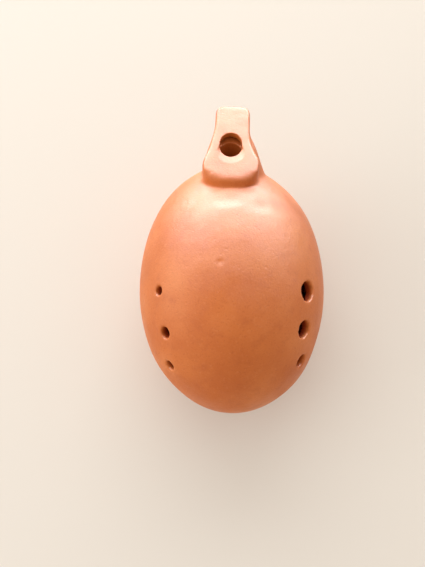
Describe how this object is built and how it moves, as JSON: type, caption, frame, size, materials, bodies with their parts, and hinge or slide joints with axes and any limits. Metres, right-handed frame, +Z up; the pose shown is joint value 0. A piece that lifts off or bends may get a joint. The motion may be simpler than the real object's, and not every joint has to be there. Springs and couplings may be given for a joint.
{
  "type": "clay vessel flute",
  "caption": "Egg-shaped terracotta vessel flute of the xun family, with finger holes on its face, thumb holes on its back and a ducted beak mouthpiece on its shoulder.",
  "frame": {"origin": "on the surface it lies on, under the middle of the whole instrument", "axes": "+Y along the instrument towards the lips, +Z up, out of the face with the finger holes, +X across it"},
  "size_m": [0.1, 0.1602, 0.0988],
  "materials": {
    "terracotta": "matt unglazed, lightly burnished"
  },
  "bodies": {
    "root": {"front_shell": "terracotta", "back_shell": "terracotta", "fipple_block": "terracotta", "windway_roof": "terracotta", "voicing_collar": "terracotta"}
  },
  "joints": []
}
